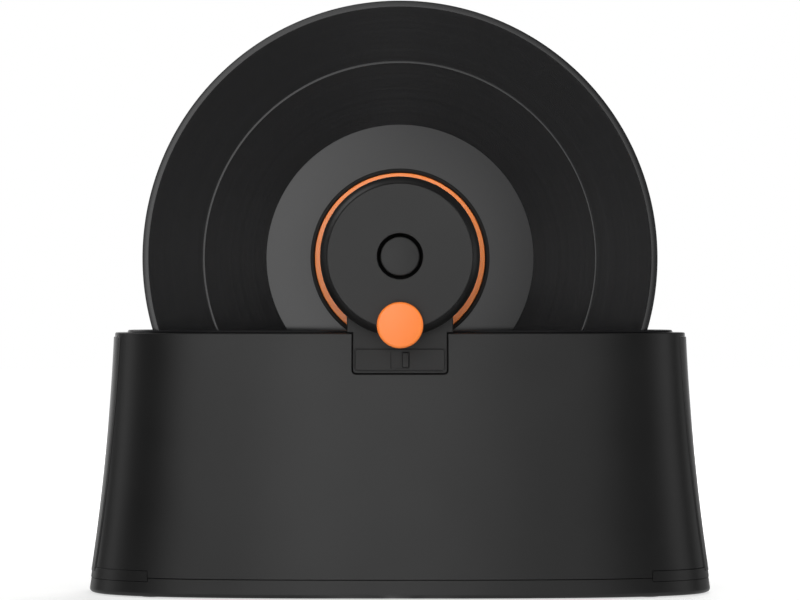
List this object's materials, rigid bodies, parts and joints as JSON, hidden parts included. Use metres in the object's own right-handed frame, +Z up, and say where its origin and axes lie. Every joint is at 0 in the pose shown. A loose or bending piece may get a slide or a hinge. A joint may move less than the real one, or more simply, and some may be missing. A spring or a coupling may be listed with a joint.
{
  "type": "record cleaning machine",
  "caption": "Hand-cranked record washer: tapered oval tub with lift-out tank, an upright disc held in a label clamp, and a front hand wheel with offset knob.",
  "frame": {"origin": "on the floor under the middle of the tub, in the plane of the record", "axes": "+Z up, -Y towards the hand wheel at the front, +X along the tub to the right as seen from the front"},
  "size_m": [0.3616, 0.1699, 0.3456],
  "materials": {
    "casing": "satin black moulded",
    "end_panel": "satin black moulded",
    "tank": "gloss black moulded",
    "bracket": "satin dark grey moulded",
    "wheel": "satin black moulded",
    "orange": "orange moulded, half gloss",
    "rubber": "soft black",
    "vinyl": "pressed, with fine grooves",
    "steel": "ground",
    "acetal": "white bearing plastic",
    "pile": "short washing pile"
  },
  "bodies": {
    "base_unit": {"casing": "casing", "base_pan": "casing", "end_panel_left": "end_panel", "end_panel_right": "end_panel", "foot_front_left": "rubber", "foot_front_right": "rubber", "foot_rear_left": "rubber", "foot_rear_right": "rubber", "base_screw_front_left": "steel", "base_screw_front_right": "steel", "base_screw_rear_left": "steel", "base_screw_rear_right": "steel"},
    "tank_unit": {"wash_tank": "tank", "brush_holder_front": "tank", "brush_holder_rear": "tank", "brush_pad_front": "pile", "brush_pad_rear": "pile"},
    "carrier": {"front_bracket": "bracket", "rear_bracket": "bracket", "lock_cover": "bracket", "front_bearing": "acetal", "rear_bearing": "acetal", "rear_bearing_cap": "bracket"},
    "lock": {"lock_slider": "bracket"},
    "rear_rotor": {"rear_spindle": "steel", "retaining_clip": "steel", "rear_label_cup": "orange", "rear_seal": "rubber", "record": "vinyl"},
    "front_clamp": {"drive_shaft": "steel", "front_label_cup": "orange", "front_seal": "rubber", "crank_wheel": "wheel", "crank_cover": "wheel", "crank_back_plate": "wheel", "wheel_set_screw": "steel", "knob_pin": "steel", "latch_ball_left": "steel", "latch_ball_right": "steel", "button_spring": "steel"},
    "knob": {"crank_knob": "orange"},
    "button": {"release_button": "wheel", "release_rod": "steel"}
  },
  "joints": [
    {"name": "tank_lift", "type": "slide", "parent": "base_unit", "child": "tank_unit", "axis": [0, 0, 1], "range_m": [0, 0.135]},
    {"name": "carrier_lift", "type": "slide", "parent": "tank_unit", "child": "carrier", "axis": [0, 0, 1], "range_m": [0, 0.115]},
    {"name": "lock_slide", "type": "slide", "parent": "carrier", "child": "lock", "axis": [-1, 0, 0], "range_m": [0, 0.0058]},
    {"name": "rotor_spin", "type": "hinge", "parent": "carrier", "child": "rear_rotor", "pos_m": [0, 0, 0.1948], "axis": [0, -1, 0], "continuous": true},
    {"name": "clamp_pull", "type": "slide", "parent": "rear_rotor", "child": "front_clamp", "axis": [0, -1, 0], "range_m": [0, 0.017]},
    {"name": "knob_spin", "type": "hinge", "parent": "front_clamp", "child": "knob", "pos_m": [0, -0.095, 0.15635], "axis": [0, -1, 0], "continuous": true},
    {"name": "button_press", "type": "slide", "parent": "front_clamp", "child": "button", "axis": [0, 1, 0], "range_m": [0, 0.003], "stiffness_N_per_m": 800, "springref_m": -0.003, "deforming": ["button_spring"]}
  ]
}
